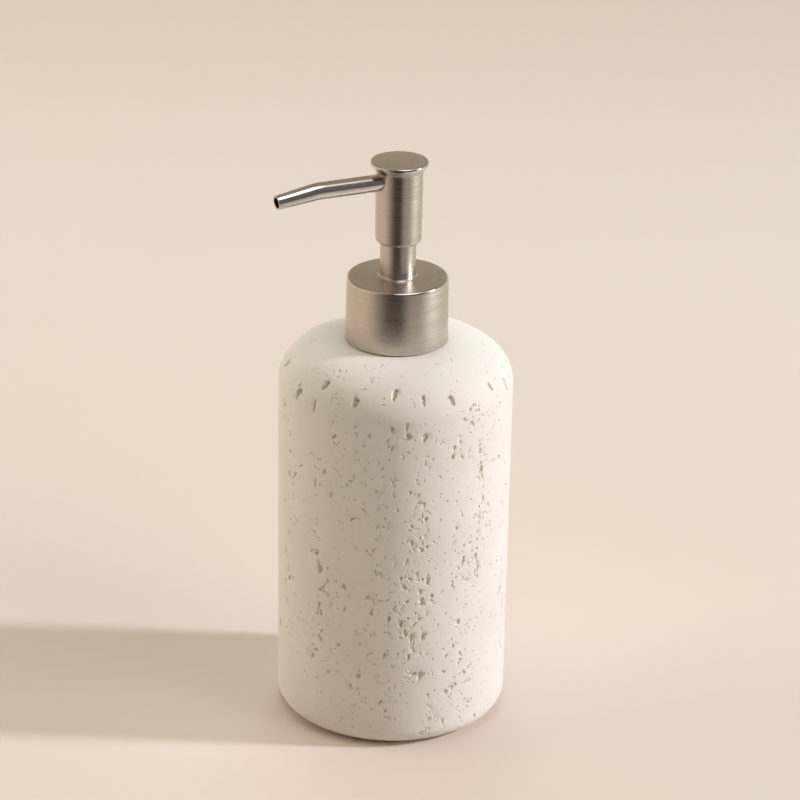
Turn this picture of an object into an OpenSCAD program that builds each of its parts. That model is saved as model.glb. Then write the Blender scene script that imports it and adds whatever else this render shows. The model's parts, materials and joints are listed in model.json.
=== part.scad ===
// A lotion bottle of cast stone resin with a press-down pump of brushed metal.
// The origin is the centre of the flat underside, +Z is up and the spout points along -X.

/* [Bottle] */
// Outside diameter of the bottle
bottle_d = 75; // [60:0.5:100]
// Height of the shoulder's flat top above the table
shoulder_z = 128.5; // [100:0.5:180]
// How far the shoulder curve falls from its flat top to the straight side
shoulder_drop = 14; // [8:0.5:24]
// Flat ring of shoulder left showing round the collar
shoulder_land = 1.1; // [0.5:0.1:4]
// Thickness of the cast side wall
wall_t = 5.5; // [4:0.25:8]
// Thickness of the cast floor
floor_t = 6; // [4:0.5:10]
// Thickness of the crown that the neck is glued through
crown_t = 9; // [7:0.5:14]
// Radius of the rounded bottom edge
base_edge_r = 4; // [1.5:0.5:6]

/* [Base pad] */
// Width of the cast rim left showing round the soft pad
pad_rim = 6.5; // [4:0.5:12]
// Thickness of the pad
pad_t = 1.5; // [1.2:0.1:4]
// How deep the pad is let into the floor
pad_sink = 1; // [0.5:0.1:2]

/* [Neck] */
// Bore of the neck that the pump drops through
neck_bore_d = 21; // [20:0.5:22]
// Wall of the neck under its thread
neck_wall = 2.05; // [1.8:0.05:3]
// Height of the screw thread above the neck's wall
thread_h = 1.15; // [0.8:0.05:1.4]
// Rise of the thread in one turn
thread_pitch = 4.23; // [3.6:0.01:5]
// Turns of thread on the neck and in the cap
thread_turns = 1.4; // [1:0.1:1.6]
// Height of the neck above the shoulder
neck_h = 13.5; // [12:0.5:18]
// Thickness of the neck's ring that stops it on the shoulder
neck_ring_t = 1.2; // [0.8:0.1:2]

/* [Closure] */
// Wall of the plastic cap round its thread
cap_wall = 1.3; // [1:0.1:2.5]
// Thickness of the cap's plate
cap_plate_t = 1.6; // [1.2:0.1:3]
// Wall of the metal collar at its top
collar_wall = 0.7; // [0.5:0.1:1.2]
// How much further out the collar's foot stands than its top
collar_flare = 0.3; // [0:0.05:0.8]
// Height of the polished bevel round the collar's top
collar_bevel = 0.6; // [0.2:0.1:1]
// Gap between the collar and the shoulder
collar_gap = 0.3; // [0.2:0.1:1]

/* [Neck sleeve] */
// Outside diameter of the metal sleeve that the head slides over
sleeve_d = 11.4; // [11:0.1:13]
// Wall of the sleeve
sleeve_wall = 0.5; // [0.3:0.05:0.8]
// Thickness of the sleeve's foot under the collar's top
sleeve_foot_t = 0.7; // [0.5:0.1:1.2]
// Height of the collar's turned-up lip round the sleeve
lip_h = 0.9; // [0.4:0.1:1]

/* [Pump] */
// Bore of the pump housing
chamber_d = 14.5; // [13:0.5:15]
// Wall of the pump housing
housing_wall = 1.4; // [1.2:0.1:2]
// Thickness of the housing's flange
housing_flange_t = 1.3; // [1:0.1:2]
// Thickness of the sealing gasket
gasket_t = 1; // [0.6:0.1:2]
// Thickness of the stem guide's flange
guide_flange_t = 1.4; // [1:0.1:2]
// How far the head goes down when pressed
stroke = 10.5; // [8:0.5:14]
// How far the rod moves before it takes the piston with it
lost_motion = 1.5; // [1:0.1:2]
// Outside diameter of the hollow stem
stem_d = 7; // [6.4:0.1:7.2]
// Bore of the hollow stem
stem_bore_d = 4.4; // [3.6:0.1:4.8]
// Length of the spring at rest
spring_len = 24.3; // [22:0.1:32]
// Wire of the spring
spring_wire = 1.1; // [0.8:0.05:1.2]
// Working turns of the spring
spring_turns = 5; // [4:1:7]
// Diameter of the inlet ball
ball_d = 5; // [4:0.25:5.5]
// How far the inlet ball lifts off its seat
ball_lift = 1.2; // [0.8:0.1:2]
// Outside diameter of the dip tube
dip_d = 6; // [5:0.25:7]
// Wall of the dip tube
dip_wall = 0.7; // [0.5:0.1:1]
// Gap between the dip tube and the bottle's floor
dip_gap = 2; // [1:0.5:6]

/* [Head] */
// Gap left between the head and the collar when fully pressed
press_gap = 1.2; // [1.1:0.1:3]
// Height of the head's metal barrel
barrel_h = 23.5; // [22:0.5:32]
// Wall of the head's plastic skirt inside the barrel
skirt_t = 0.75; // [0.6:0.05:2]
// How much wider the barrel is at its top
barrel_flare = 0.34; // [0:0.02:0.8]
// Wall of the barrel
barrel_wall = 0.6; // [0.5:0.05:0.9]
// Radius of the barrel's rolled foot
barrel_edge_r = 1.2; // [0.6:0.1:1.3]
// How far the button's rim stands out past the barrel
button_lip = 1.73; // [1:0.01:4]
// Height of the button's rim
button_rim_h = 1.4; // [1:0.1:3]
// Height of the cone under the rim
button_cone_h = 1.7; // [1.5:0.1:3]

/* [Spout] */
// Outside diameter of the spout
spout_d = 5.5; // [4.6:0.1:5.8]
// Outside diameter at the spout's tip
spout_tip_d = 4.5; // [3.4:0.1:4.6]
// Wall of the spout
spout_wall = 0.55; // [0.4:0.05:0.8]
// Distance from the head's axis to the spout's bend
spout_bend_at = 28.5; // [22:0.5:40]
// Length of the spout past its bend
spout_nose = 14.2; // [10:0.2:24]
// Angle that the spout rises before its bend
spout_rise = 1.5; // [0:0.5:6]
// Angle that the spout falls after its bend
spout_fall = 6.5; // [4:0.5:20]
// Radius of the bend
spout_bend_r = 26; // [16:1:40]
// Thickness of the seal round the spout's root
seal_t = 0.9; // [0.7:0.1:1]

/* [Clearances] */
// Running clearance of a sliding or turning fit, on the radius
run_clear = 0.05; // [0.03:0.01:0.1]
// Loose clearance between parts that never guide each other
loose_clear = 0.3; // [0.2:0.05:0.5]

/* [Hidden] */
$fn = 96;
// Overlap that makes sure that two joined shapes of one piece fuse, and that cuts go right through
eps = 0.3;

// Bottle
bottle_r = bottle_d / 2;
pad_r = bottle_r - pad_rim;
pad_clear = 0.2;
base_z = pad_t - pad_sink;
inner_r = bottle_r - wall_t;

// Neck and cap, from the bore outwards
neck_bore_r = neck_bore_d / 2;
thread_root_r = neck_bore_r + neck_wall;
thread_r = thread_root_r + thread_h;
thread_clear = 0.4;
cap_bore_r = thread_r + thread_clear;
cap_r = cap_bore_r + cap_wall;
cap_thread_r = thread_root_r + thread_clear;
collar_top_r = cap_r + collar_wall;
collar_foot_r = collar_top_r + collar_flare;
flat_r = collar_foot_r + shoulder_land;
spigot_r = thread_root_r + 0.95;
neck_ring_r = thread_r + 0.9;
thread_z = shoulder_z + neck_ring_t + 2.6;

// Heights of the stack on the neck, from the shoulder up
neck_z = shoulder_z + neck_h;
gasket_z = neck_z + gasket_t;
flange_z = gasket_z + housing_flange_t;
plate_z = flange_z + run_clear;
plate_top_z = plate_z + cap_plate_t;
guide_flange_z = plate_top_z + run_clear;
guide_flange_top_z = guide_flange_z + guide_flange_t;
foot_z = guide_flange_top_z + 0.9;
collar_under_z = foot_z + sleeve_foot_t;
collar_top_z = collar_under_z + collar_wall;
collar_foot_z = shoulder_z + collar_gap;
cap_foot_z = shoulder_z + neck_ring_t + 0.4;

// Pump housing and what slides in it
chamber_r = chamber_d / 2;
housing_r = chamber_r + housing_wall;
flange_r = thread_root_r - 0.05;
guide_neck_r = chamber_r + 0.35;
plate_hole_r = guide_neck_r + 0.15;
guide_flange_r = plate_hole_r + 3.25;
plug_z = shoulder_z + 9;
stem_r = stem_d / 2;
stem_bore_r = stem_bore_d / 2;
guide_bore_r = stem_r + run_clear;
sleeve_r = sleeve_d / 2;
sleeve_bore_r = sleeve_r - sleeve_wall;
guide_tube_r = sleeve_bore_r - 0.1;
foot_r = guide_flange_r + 1.3;

piston_r = chamber_r - run_clear;
piston_top_z = plug_z - loose_clear;
piston_h = 10.7;
hub_r = stem_r + 1.1;
hub_bore_r = 2.6;
hub_foot_z = piston_top_z - 8.7;
hub_stop_z = hub_foot_z + 3;
stem_foot_z = hub_stop_z + lost_motion;
piston_travel = stroke - lost_motion;

// The rod's seat closes the hub from below
seat_gap = 0.02;
rod_disc_z = hub_foot_z - seat_gap;
rod_disc_t = 2;
rod_pin_r = stem_bore_r - 0.3;
bead_r = stem_bore_r + 0.2;
bead_z = stem_foot_z + 5;
bead_t = 1.6;

spring_top_z = rod_disc_z - rod_disc_t;
spring_foot_z = spring_top_z - spring_len;
spring_r = 4.9;
rod_disc_r = spring_r + spring_wire / 2 + 0.15;
rod_boss_r = spring_r - spring_wire / 2 - 0.15;

// Ball, its seat and the cage over it
ball_r = ball_d / 2;
inlet_r = 1.5;
cage_t = 1;
cage_under_z = spring_foot_z - cage_t;
ball_z = cage_under_z - ball_r - ball_lift - 0.1;
seat_rest = 0.02;
cone_at_inlet_z = ball_z - seat_rest - ball_r * sqrt(2) + inlet_r;
cage_bore_r = ball_r + 0.6;
chamber_floor_z = cone_at_inlet_z + cage_bore_r - inlet_r;

// Tail socket and dip tube
dip_r = dip_d / 2;
tail_r = dip_r + 1.3;
socket_top_z = cone_at_inlet_z - 3.2;
socket_len = 11;
tail_foot_z = socket_top_z - socket_len;
dip_foot_z = base_z + floor_t + dip_gap;

// Head
barrel_z = collar_top_z + stroke + press_gap;
barrel_top_z = barrel_z + barrel_h;
slide_clear = 0.25;
core_bore_r = sleeve_r + slide_clear;
core_r = core_bore_r + skirt_t;
barrel_r = core_r + barrel_wall;
barrel_top_r = barrel_r + barrel_flare / 2;
roll_t = 0.5;
button_r = barrel_top_r + button_lip;
rim_z = barrel_top_z + button_cone_h;
button_top_z = rim_z + button_rim_h;
rim_edge_r = 0.6;
button_recess = 1.5;
core_top_z = barrel_top_z + button_recess;
sleeve_top_z = barrel_z + 2.4;
core_plug_z = sleeve_top_z + stroke + 0.7;
guide_top_z = sleeve_top_z - 4.3;
boss_r = sleeve_bore_r - 0.4;
boss_z = guide_top_z + stroke + 0.6;

// Spout, laid out in the XZ plane
spout_r = spout_d / 2;
spout_tip_r = spout_tip_d / 2;
spout_sides = 40;
spout_root_x = core_r - 3.3;
spout_z = barrel_top_z - spout_r - 0.5;
bend_angle = spout_rise + spout_fall;
bend_len = spout_bend_r * tan(bend_angle / 2);
first_len = (spout_bend_at - spout_root_x) / cos(spout_rise) - bend_len;
nose_len = spout_nose - bend_len;
seal_x = core_r - 1.6;
seal_r = spout_r + seal_t / 2;
stem_top_z = spout_z - spout_r - 0.4;

// Colours
stone = [0.93, 0.91, 0.87];
satin = [0.66, 0.62, 0.57];
bright = [0.78, 0.76, 0.73];
milky = [0.93, 0.93, 0.92];
rubber = [0.35, 0.35, 0.35];

// Points of an arc round [cx, cz], from angle a0 to a1
function arc(cx, cz, r, a0, a1, n = 8) =
    [for (i = [0 : n]) let (a = a0 + (a1 - a0) * i / n) [cx + r * cos(a), cz + r * sin(a)]];

// Points of a quarter of an ellipse, from its side up to its top
function corner(cx, cz, rx, rz, n = 24) =
    [for (i = [0 : n]) let (a = 90 * i / n) [cx + rx * cos(a), cz + rz * sin(a)]];

// A cylinder between two heights
module rod_between(r, z0, z1) {
    translate([0, 0, z0])
        cylinder(r = r, h = z1 - z0);
}

// A tube between two heights
module tube_between(r_out, r_in, z0, z1) {
    difference() {
        rod_between(r_out, z0, z1);
        rod_between(r_in, z0 - eps, z1 + eps);
    }
}

// One solid from rings that all have the same number of points, closed by ends or into a loop
module loft(rings, looped = false) {
    n = len(rings[0]);
    count = len(rings);
    last = count - 1;
    points = [for (ring = rings) each ring];
    sides = [
        for (i = [0 : looped ? last : last - 1], k = [0 : n - 1])
            let (
                a = i * n + k,
                b = i * n + (k + 1) % n,
                c = (i + 1) % count * n + k,
                d = (i + 1) % count * n + (k + 1) % n
            )
                each [[a, b, c], [b, d, c]]
    ];
    foot = [[for (k = [0 : n - 1]) n - 1 - k]];
    head = [[for (k = [0 : n - 1]) last * n + k]];
    polyhedron(points = points, faces = looped ? sides : concat(sides, foot, head), convexity = 10);
}

// A right-handed screw ridge whose ends run out into the wall behind it
module ridge(wall_r, tip_r, foot_z) {
    root_r = wall_r - sign(tip_r - wall_r) * eps;
    steps = floor(thread_turns * 40);
    root_w = 1.15;
    tip_w = 0.5;
    run_out = 0.12;
    loft([
        for (i = [0 : steps])
            let (
                t = i / steps,
                grow = min(1, t / run_out, (1 - t) / run_out),
                r = root_r + (tip_r - root_r) * (0.15 + 0.85 * grow),
                a = 360 * thread_turns * t,
                z = foot_z + thread_pitch * thread_turns * t,
                inner = min(root_r, r),
                outer = max(root_r, r),
                inner_w = tip_r > wall_r ? root_w : tip_w,
                outer_w = tip_r > wall_r ? tip_w : root_w
            )
            [
                [inner * cos(a), inner * sin(a), z - inner_w],
                [outer * cos(a), outer * sin(a), z - outer_w],
                [outer * cos(a), outer * sin(a), z + outer_w],
                [inner * cos(a), inner * sin(a), z + inner_w]
            ]
    ]);
}

// Unit vector square to the spout in the XZ plane, on its under side, where it rises at angle a
function spout_under(a) = [-sin(a), 0, -cos(a)];

// Unit vector along the spout, away from the head
function spout_along(a) = [-cos(a), 0, sin(a)];

// Stations down the spout, each its centre, its angle and its radius
function spout_stations(shrink) =
    let (
        root = [-spout_root_x, 0, spout_z],
        bend = root + first_len * spout_along(spout_rise),
        centre = bend + spout_bend_r * spout_under(spout_rise),
        steps = 6,
        turned = [
            for (i = [0 : steps])
                let (a = spout_rise - bend_angle * i / steps)
                    [centre - spout_bend_r * spout_under(a), a, spout_r - shrink]
        ],
        tip = turned[steps][0] + nose_len * spout_along(-spout_fall)
    )
    concat(
        [[root, spout_rise, spout_r - shrink]],
        turned,
        [[tip, -spout_fall, spout_tip_r - shrink]]
    );

// Points of the round section at one station
function spout_ring(station) =
    [
        for (k = [0 : spout_sides - 1])
            let (b = 360 * k / spout_sides)
                station[0] + station[2] * (cos(b) * spout_under(station[1]) + sin(b) * [0, 1, 0])
    ];

// ---- Bottle ----

// Cast shell with a rounded foot, an elliptical shoulder and a mouth for the neck
module bottle_body() {
    outer_side_z = shoulder_z - shoulder_drop;
    crown_z = shoulder_z - crown_t;
    inner_drop = max(4, shoulder_drop - (crown_t - wall_t));
    inner_corner_r = 6;
    inner_floor_z = base_z + floor_t;
    color(stone)
        difference() {
            rotate_extrude()
                polygon(concat(
                    [[0, base_z]],
                    arc(bottle_r - base_edge_r, base_z + base_edge_r, base_edge_r, -90, 0),
                    corner(flat_r, outer_side_z, bottle_r - flat_r, shoulder_drop),
                    [[0, shoulder_z]]
                ));
            rotate_extrude()
                polygon(concat(
                    [[0, inner_floor_z]],
                    arc(inner_r - inner_corner_r, inner_floor_z + inner_corner_r, inner_corner_r, -90, 0),
                    corner(flat_r - 1, crown_z - inner_drop, inner_r - flat_r + 1, inner_drop, 12),
                    [[0, crown_z]]
                ));
            rod_between(spigot_r, crown_z - 1, shoulder_z + eps);
            rod_between(pad_r + pad_clear, base_z - eps, base_z + pad_sink);
        }
}

// Threaded neck, glued through the crown
module neck_insert() {
    color(milky) {
        difference() {
            union() {
                rod_between(spigot_r, shoulder_z - crown_t, shoulder_z);
                rod_between(neck_ring_r, shoulder_z, shoulder_z + neck_ring_t);
                rod_between(thread_root_r, shoulder_z, neck_z);
            }
            rod_between(neck_bore_r, shoulder_z - crown_t - eps, neck_z + eps);
        }
        ridge(thread_root_r, thread_r, thread_z);
    }
}

// Soft pad that the bottle stands on
module base_pad() {
    color(rubber)
        rod_between(pad_r, 0, pad_t);
}

// ---- Pump, held in the neck ----

// Cylinder that hangs in the neck, with the ball's seat and the dip tube's socket below
module pump_housing() {
    shoulder_r = neck_bore_r - loose_clear;
    vent_z = plug_z - 1.6;
    color(milky)
        difference() {
            union() {
                rod_between(flange_r, gasket_z, flange_z);
                rod_between(shoulder_r, gasket_z - 3.5, gasket_z + eps);
                rod_between(housing_r, chamber_floor_z - 2, gasket_z);
                translate([0, 0, chamber_floor_z - 2 - housing_r + tail_r])
                    cylinder(r1 = tail_r, r2 = housing_r, h = housing_r - tail_r);
                rod_between(tail_r, tail_foot_z, chamber_floor_z - 2);
            }
            rod_between(chamber_r, chamber_floor_z, flange_z + eps);
            translate([0, 0, cone_at_inlet_z])
                cylinder(r1 = inlet_r, r2 = cage_bore_r, h = cage_bore_r - inlet_r);
            rod_between(inlet_r, socket_top_z - eps, chamber_floor_z);
            rod_between(dip_r, tail_foot_z - eps, socket_top_z);
            translate([0, 0, vent_z])
                rotate([90, 0, 0])
                    cylinder(r = 0.6, h = housing_r + eps);
        }
}

// Flat ring between the neck and the housing's flange
module closure_gasket() {
    color(rubber)
        tube_between(flange_r - 0.1, neck_bore_r + 0.1, neck_z, gasket_z);
}

// Plug that closes the housing, traps the cap's plate and guides the stem
module stem_guide() {
    relief_r = hub_r + 0.5;
    color(milky)
        difference() {
            union() {
                rod_between(chamber_r, plug_z, flange_z);
                rod_between(guide_neck_r, flange_z, guide_flange_z + eps);
                rod_between(guide_flange_r, guide_flange_z, guide_flange_top_z);
                rod_between(guide_tube_r, guide_flange_top_z, guide_top_z);
            }
            rod_between(guide_bore_r, plug_z - eps, guide_top_z + eps);
            rod_between(relief_r, plug_z - eps, plug_z + 3);
        }
}

// Cage that keeps the ball near its seat and carries the spring
module spring_seat() {
    slot_w = 1.6;
    slot_out_r = rod_boss_r - 0.5;
    color(milky)
        difference() {
            union() {
                rod_between(chamber_r, chamber_floor_z, spring_foot_z);
                rod_between(rod_boss_r, spring_foot_z - eps, spring_foot_z + 2);
            }
            rod_between(cage_bore_r, chamber_floor_z - eps, cage_under_z);
            for (turn = [0, 90])
                rotate([0, 0, turn])
                    translate([-slot_out_r, -slot_w / 2, cage_under_z - eps])
                        cube([2 * slot_out_r, slot_w, spring_foot_z + 2 + 2 * eps - cage_under_z]);
        }
}

// Straight tube to the bottom of the bottle, cut at a slant
module dip_tube() {
    slant = 30;
    color(milky)
        difference() {
            tube_between(dip_r, dip_r - dip_wall, dip_foot_z, socket_top_z);
            translate([-dip_r, 0, dip_foot_z])
                rotate([0, slant, 0])
                    translate([-dip_d, -dip_d, -2 * dip_d])
                        cube([4 * dip_d, 2 * dip_d, 2 * dip_d]);
        }
}

// Compression spring with closed ends
module return_spring() {
    sides = 8;
    steps_a_turn = 20;
    wire_r = spring_wire / 2;
    closed = 1.1;
    turns = spring_turns + 2 * closed;
    rise = (spring_len - spring_wire * (1 + 2 * closed)) / spring_turns;
    steps = floor(turns * steps_a_turn);
    color(bright)
        loft([
            for (i = [0 : steps])
                let (
                    t = turns * i / steps,
                    low = min(t, closed),
                    mid = max(0, min(t - closed, spring_turns)),
                    high = max(0, t - closed - spring_turns),
                    z = spring_foot_z + wire_r + (low + high) * spring_wire + mid * rise,
                    a = 360 * t
                )
                [
                    for (k = [0 : sides - 1])
                        let (b = 360 * (k + 0.5) / sides, r = spring_r + 0.97 * wire_r * cos(b))
                            [r * cos(a), r * sin(a), z + 0.97 * wire_r * sin(b)]
                ]
        ]);
}

// ---- Closure, which screws on the neck ----

// Plastic cap with the thread, inside the metal collar
module threaded_cap() {
    color(milky) {
        difference() {
            rod_between(cap_r, cap_foot_z, collar_under_z);
            rod_between(cap_bore_r, cap_foot_z - eps, plate_z);
            rod_between(plate_hole_r, plate_z - eps, plate_top_z + eps);
            rod_between(guide_flange_r + 0.3, plate_top_z, foot_z + eps);
            rod_between(foot_r, foot_z, collar_under_z + eps);
        }
        ridge(cap_bore_r, cap_thread_r, thread_z + thread_pitch / 2);
    }
}

// Brushed metal collar with a polished bevel and a turned-up lip round the sleeve
module closure_shell() {
    foot_edge = 0.25;
    color(satin)
        difference() {
            rotate_extrude()
                polygon(concat(
                    [[0, collar_foot_z], [collar_foot_r - foot_edge, collar_foot_z]],
                    [[collar_foot_r, collar_foot_z + foot_edge]],
                    arc(collar_top_r - collar_bevel, collar_top_z - collar_bevel, collar_bevel, 0, 90, 4),
                    arc(sleeve_r + lip_h, collar_top_z + lip_h, lip_h, -90, -180, 6),
                    [[0, collar_top_z + lip_h]]
                ));
            rod_between(cap_r, collar_foot_z - eps, collar_under_z);
            rod_between(sleeve_r, collar_under_z - eps, collar_top_z + lip_h + eps);
        }
}

// Fixed metal sleeve that shows between the collar and the head
module neck_sleeve() {
    top_edge = 0.2;
    color(satin)
        difference() {
            union() {
                rod_between(foot_r, foot_z, collar_under_z);
                rod_between(sleeve_r, foot_z, sleeve_top_z - top_edge);
                translate([0, 0, sleeve_top_z - top_edge])
                    cylinder(r1 = sleeve_r, r2 = sleeve_r - top_edge, h = top_edge);
            }
            rod_between(sleeve_bore_r, foot_z - eps, sleeve_top_z + eps);
        }
}

// ---- Moving parts inside the housing ----

// Rod that snaps into the stem, opens the piston's valve and carries the spring's push
module piston_rod() {
    slot_w = 1;
    boss_len = 5;
    pin_top_z = bead_z + bead_t + 1;
    color(milky)
        difference() {
            union() {
                rod_between(rod_disc_r, rod_disc_z - rod_disc_t, rod_disc_z);
                rod_between(rod_boss_r, rod_disc_z - rod_disc_t - boss_len, rod_disc_z - rod_disc_t + eps);
                rod_between(rod_pin_r, rod_disc_z - eps, pin_top_z);
                rod_between(bead_r - run_clear, bead_z + run_clear, bead_z + bead_t - run_clear);
            }
            for (turn = [0, 90])
                rotate([0, 0, turn])
                    translate([0.55, -slot_w / 2, rod_disc_z + 1])
                        cube([bead_r, slot_w, pin_top_z]);
        }
}

// Soft double-lipped piston with a hub round the stem's foot
module piston() {
    lip_t = 0.7;
    waist_r = piston_r - 0.5;
    web_z = hub_foot_z + 2;
    web_t = 1.6;
    lip_h = 2.2;
    foot_z = piston_top_z - piston_h;
    color(milky)
        difference() {
            union() {
                tube_between(waist_r, waist_r - lip_t, foot_z + 1, piston_top_z - 1);
                for (z = [foot_z, piston_top_z - lip_h])
                    tube_between(piston_r, waist_r - lip_t, z, z + lip_h);
                rod_between(waist_r - 0.1, web_z, web_z + web_t);
                rod_between(hub_r, hub_foot_z, piston_top_z - 0.4);
            }
            rod_between(hub_bore_r, hub_foot_z - eps, hub_stop_z + eps);
            rod_between(stem_r + run_clear, hub_stop_z, piston_top_z + eps);
        }
}

// Inlet valve ball
module inlet_ball() {
    color(bright)
        translate([0, 0, ball_z])
            sphere(r = ball_r);
}

// ---- Head, which is pressed and turns ----

// Hollow stem between the piston and the head
module stem() {
    color(milky)
        difference() {
            rod_between(stem_r, stem_foot_z, stem_top_z);
            rod_between(stem_bore_r, stem_foot_z - eps, stem_top_z + eps);
            rod_between(bead_r, bead_z, bead_z + bead_t);
        }
}

// Plastic core of the head: skirt, stem socket and the way to the spout
module actuator_core() {
    channel_r = 1.8;
    color(milky)
        difference() {
            rod_between(core_r, barrel_z + roll_t, core_top_z);
            difference() {
                rod_between(core_bore_r, barrel_z, core_plug_z);
                rod_between(boss_r, boss_z, core_plug_z + eps);
            }
            rod_between(stem_r, boss_z - eps, stem_top_z);
            rod_between(channel_r, stem_top_z - eps, spout_z);
            translate([0, 0, spout_z])
                rotate([0, -90, 0])
                    cylinder(r = channel_r, h = spout_root_x + eps);
            spout_cut();
            translate([-seal_x + seal_t / 2, 0, spout_seal_z()])
                rotate([0, -90 + spout_rise, 0])
                    cylinder(r = spout_r + seal_t + 0.05, h = seal_t + 0.1);
        }
}

// Height of the spout's axis where its seal sits
function spout_seal_z() = spout_z + (seal_x - spout_root_x) * tan(spout_rise);

// Way for the spout through the head's walls, from outside
module spout_cut() {
    translate([-spout_root_x, 0, spout_z])
        rotate([0, -90 + spout_rise, 0])
            cylinder(r = spout_r, h = 2 * barrel_r);
}

// Brushed metal barrel with a rolled foot
module head_barrel() {
    color(satin)
        difference() {
            rotate_extrude()
                polygon(concat(
                    [[0, barrel_z]],
                    arc(barrel_r - barrel_edge_r, barrel_z + barrel_edge_r, barrel_edge_r, -90, 0, 6),
                    [[barrel_top_r, barrel_top_z], [0, barrel_top_z]]
                ));
            rod_between(core_r, barrel_z + roll_t, barrel_top_z + eps);
            rod_between(core_bore_r, barrel_z - eps, barrel_z + roll_t + eps);
            spout_cut();
        }
}

// Press button with a polished round rim, hollow underneath
module head_button() {
    color(satin)
        difference() {
            rotate_extrude()
                polygon(concat(
                    [[0, barrel_top_z], [barrel_top_r, barrel_top_z]],
                    arc(button_r - rim_edge_r, rim_z + rim_edge_r, rim_edge_r, -50, 0, 4),
                    arc(button_r - rim_edge_r, button_top_z - rim_edge_r, rim_edge_r, 0, 90, 5),
                    [[0, button_top_z]]
                ));
            rod_between(core_r, barrel_top_z - eps, core_top_z);
        }
}

// Bent metal spout, open at both ends
module spout_tube() {
    outside = [for (station = spout_stations(0)) spout_ring(station)];
    inside = [for (station = spout_stations(spout_wall)) spout_ring(station)];
    last = len(inside) - 1;
    color(bright)
        loft(concat(outside, [for (i = [0 : last]) inside[last - i]]), looped = true);
}

// Round seal between the spout's root and the core
module spout_seal() {
    color(rubber)
        translate([-seal_x, 0, spout_seal_z()])
            rotate([0, -90 + spout_rise, 0])
                rotate_extrude()
                    translate([seal_r, 0])
                        circle(r = seal_t / 2);
}

bottle_body();
neck_insert();
base_pad();
pump_housing();
closure_gasket();
stem_guide();
spring_seat();
dip_tube();
return_spring();
threaded_cap();
closure_shell();
neck_sleeve();
piston_rod();
piston();
inlet_ball();
stem();
actuator_core();
head_barrel();
head_button();
spout_tube();
spout_seal();
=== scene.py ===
# %% [markdown]
# # A cast stone lotion bottle with a press-down pump
#
# The bottle is cast in a stone-like resin that is full of small pits, as travertine is. A brushed metal
# collar screws on its neck, and a metal head with a bent spout is pressed down over a slim sleeve.
#
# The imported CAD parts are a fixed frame: they say where everything is and how it moves. The parts that
# are seen are modelled again here, in the same place and with the same outside sizes, but with the edges
# and the surface of the real ones. The bottle's foot and the collar's bevel are rounder than the CAD's.

import bpy
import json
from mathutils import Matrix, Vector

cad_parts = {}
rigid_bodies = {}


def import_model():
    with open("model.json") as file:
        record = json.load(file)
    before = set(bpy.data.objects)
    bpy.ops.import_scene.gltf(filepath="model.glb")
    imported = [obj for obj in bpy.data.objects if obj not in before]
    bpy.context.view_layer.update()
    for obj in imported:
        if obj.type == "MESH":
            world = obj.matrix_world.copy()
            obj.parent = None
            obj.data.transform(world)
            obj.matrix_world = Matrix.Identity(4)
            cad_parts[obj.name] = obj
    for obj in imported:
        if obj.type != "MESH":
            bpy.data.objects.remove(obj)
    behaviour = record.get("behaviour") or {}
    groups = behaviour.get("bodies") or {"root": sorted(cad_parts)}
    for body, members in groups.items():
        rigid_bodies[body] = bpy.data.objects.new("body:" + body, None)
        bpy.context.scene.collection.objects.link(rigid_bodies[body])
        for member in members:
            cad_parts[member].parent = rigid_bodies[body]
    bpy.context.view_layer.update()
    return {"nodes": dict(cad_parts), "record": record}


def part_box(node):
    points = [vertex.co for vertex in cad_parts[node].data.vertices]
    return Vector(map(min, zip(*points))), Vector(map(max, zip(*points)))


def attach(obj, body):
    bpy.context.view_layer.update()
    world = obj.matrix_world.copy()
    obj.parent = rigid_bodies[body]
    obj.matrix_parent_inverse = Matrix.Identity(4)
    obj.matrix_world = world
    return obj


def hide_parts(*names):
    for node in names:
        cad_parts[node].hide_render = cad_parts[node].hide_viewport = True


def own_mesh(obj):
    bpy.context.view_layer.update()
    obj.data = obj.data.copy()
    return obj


for start_up in list(bpy.data.objects):
    bpy.data.objects.remove(start_up)
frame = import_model()

import json
import math
import random

import numpy as np
from mathutils import Matrix, Vector, kdtree, noise

MM = 0.001

# %% [markdown]
# ## Measuring the frame
#
# A new part has to take the place of a CAD part, so its main sizes are read from that part's box. Most
# parts here are turned round the Z axis, so two heights and an outer radius say nearly everything. All
# sizes below are in millimetres, and become metres only where a mesh is made.


# %% Read heights and radii from the CAD boxes
def span(node):
    """Lowest height, highest height and outer radius of a turned CAD part, in millimetres."""
    low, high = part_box(node)
    return low[2] / MM, high[2] / MM, high[0] / MM


bottle_foot, shoulder_z, bottle_r = span("bottle_body")
_, _, pad_r = span("base_pad")
collar_foot, lip_top, collar_r = span("closure_shell")
_, collar_under, cap_r = span("threaded_cap")
sleeve_foot, sleeve_top, sleeve_foot_r = span("neck_sleeve")
barrel_foot, barrel_top, barrel_top_r = span("head_barrel")
_, button_top, button_r = span("head_button")
_, core_top, core_r = span("actuator_core")
print(f"bottle {2 * bottle_r:.1f} mm across and {shoulder_z:.1f} mm to its shoulder")
print(f"collar {2 * collar_r:.1f} mm, barrel {2 * barrel_top_r:.1f} mm, button {2 * button_r:.1f} mm across")

# %% [markdown]
# ## Turning a part from its outline
#
# Bottles, collars and buttons are turned or pressed round an axis, so the natural way to model one is
# to draw half of its section and spin it. A tiny plane is merged into a single point, the point is
# extruded from corner to corner of the section, and the whole line is spun through a full turn.
# Real edges are never sharp, so each corner carries a radius and is rounded with an arc.


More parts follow.
